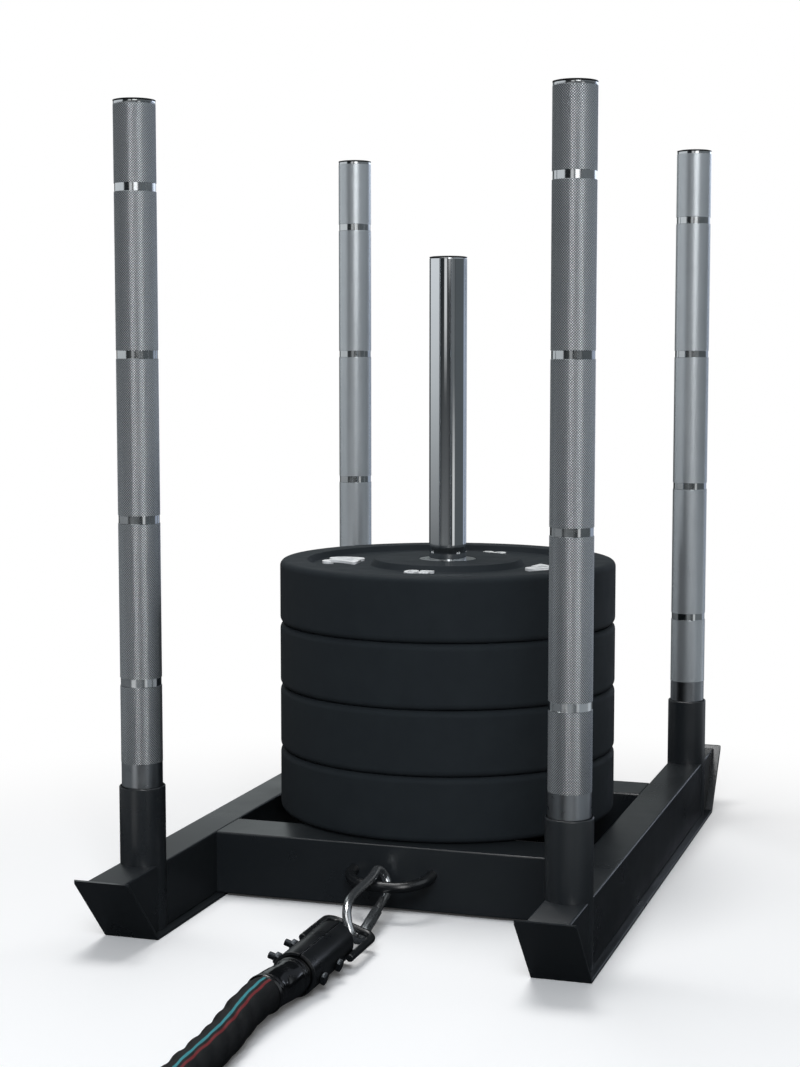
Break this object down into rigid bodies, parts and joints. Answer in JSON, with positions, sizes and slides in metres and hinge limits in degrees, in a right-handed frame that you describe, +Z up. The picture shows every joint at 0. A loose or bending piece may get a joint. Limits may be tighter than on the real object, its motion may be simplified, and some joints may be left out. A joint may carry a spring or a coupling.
{
  "type": "push sled",
  "caption": "Weight sled on two upturned skids with lift-out push poles, a central plate post loaded with bumper plates, and a tow eye with link, clamp and coiled rope.",
  "frame": {"origin": "on the floor under the middle of the frame, between the two skids", "axes": "+X to the right across the sled, +Y along the skids towards the rear, away from the tow eye, +Z up along the poles"},
  "size_m": [0.6686, 2.1778, 0.9899],
  "materials": {
    "frame_paint": "satin black powder coat",
    "knurled_steel": "diamond-knurled, satin",
    "post_chrome": "polished",
    "cap_plastic": "glossy black",
    "plate_rubber": "moulded, slightly satin",
    "insert_steel": "turned",
    "link_chrome": "polished zinc",
    "clamp_paint": "satin black",
    "black_steel": "black oxide",
    "rope_fibre": "woven black cover with coloured tracer yarns",
    "shrink_plastic": "heat-shrunk, glossy"
  },
  "bodies": {
    "frame": {"front_crossmember": "frame_paint", "rear_crossmember": "frame_paint", "centre_beam": "frame_paint", "left_rail": "frame_paint", "left_rail_nose": "frame_paint", "left_rail_tail": "frame_paint", "left_skid": "frame_paint", "left_front_socket": "frame_paint", "left_rear_socket": "frame_paint", "right_rail": "frame_paint", "right_rail_nose": "frame_paint", "right_rail_tail": "frame_paint", "right_skid": "frame_paint", "right_front_socket": "frame_paint", "right_rear_socket": "frame_paint", "weight_post": "post_chrome", "weight_post_cap": "cap_plastic", "tow_eye": "frame_paint"},
    "left_front_pole": {"left_front_pole": "knurled_steel", "left_front_pole_cap": "cap_plastic"},
    "left_rear_pole": {"left_rear_pole": "knurled_steel", "left_rear_pole_cap": "cap_plastic"},
    "right_front_pole": {"right_front_pole": "knurled_steel", "right_front_pole_cap": "cap_plastic"},
    "right_rear_pole": {"right_rear_pole": "knurled_steel", "right_rear_pole_cap": "cap_plastic"},
    "plate_1": {"plate_1": "plate_rubber", "plate_insert_1": "insert_steel"},
    "plate_2": {"plate_2": "plate_rubber", "plate_insert_2": "insert_steel"},
    "plate_3": {"plate_3": "plate_rubber", "plate_insert_3": "insert_steel"},
    "plate_4": {"plate_4": "plate_rubber", "plate_insert_4": "insert_steel"},
    "tow_line": {"quick_link": "link_chrome", "clamp_half_left": "clamp_paint", "clamp_half_right": "clamp_paint", "clamp_bow": "clamp_paint", "clamp_bolt_1": "black_steel", "clamp_bolt_2": "black_steel", "clamp_nut_1": "black_steel", "clamp_nut_2": "black_steel", "rope_end": "rope_fibre", "rope_sleeve": "shrink_plastic", "tow_rope": "rope_fibre", "rope_coil": "rope_fibre", "rope_end_cap": "shrink_plastic"},
    "link_nut": {"quick_link_nut": "insert_steel"}
  },
  "joints": [
    {"name": "left_front_pole_lift", "type": "slide", "parent": "frame", "child": "left_front_pole", "axis": [0, 0, 1], "range_m": [0, 0.17]},
    {"name": "left_rear_pole_lift", "type": "slide", "parent": "frame", "child": "left_rear_pole", "axis": [0, 0, 1], "range_m": [0, 0.17]},
    {"name": "right_front_pole_lift", "type": "slide", "parent": "frame", "child": "right_front_pole", "axis": [0, 0, 1], "range_m": [0, 0.17]},
    {"name": "right_rear_pole_lift", "type": "slide", "parent": "frame", "child": "right_rear_pole", "axis": [0, 0, 1], "range_m": [0, 0.17]},
    {"name": "plate_1_lift", "type": "slide", "parent": "frame", "child": "plate_1", "axis": [0, 0, 1], "range_m": [0, 0.4]},
    {"name": "plate_2_lift", "type": "slide", "parent": "plate_1", "child": "plate_2", "axis": [0, 0, 1], "range_m": [0, 0.4]},
    {"name": "plate_3_lift", "type": "slide", "parent": "plate_2", "child": "plate_3", "axis": [0, 0, 1], "range_m": [0, 0.4]},
    {"name": "plate_4_lift", "type": "slide", "parent": "plate_3", "child": "plate_4", "axis": [0, 0, 1], "range_m": [0, 0.4]},
    {"name": "tow_swing", "type": "hinge", "parent": "frame", "child": "tow_line", "pos_m": [-0.003, -0.27365, 0.04427], "axis": [0, 0, 1], "range_deg": [-20, 20]},
    {"name": "link_nut_slide", "type": "slide", "parent": "tow_line", "child": "link_nut", "axis": [-0.0619, 0.9853, 0.159], "range_m": [0, 0.016]}
  ]
}
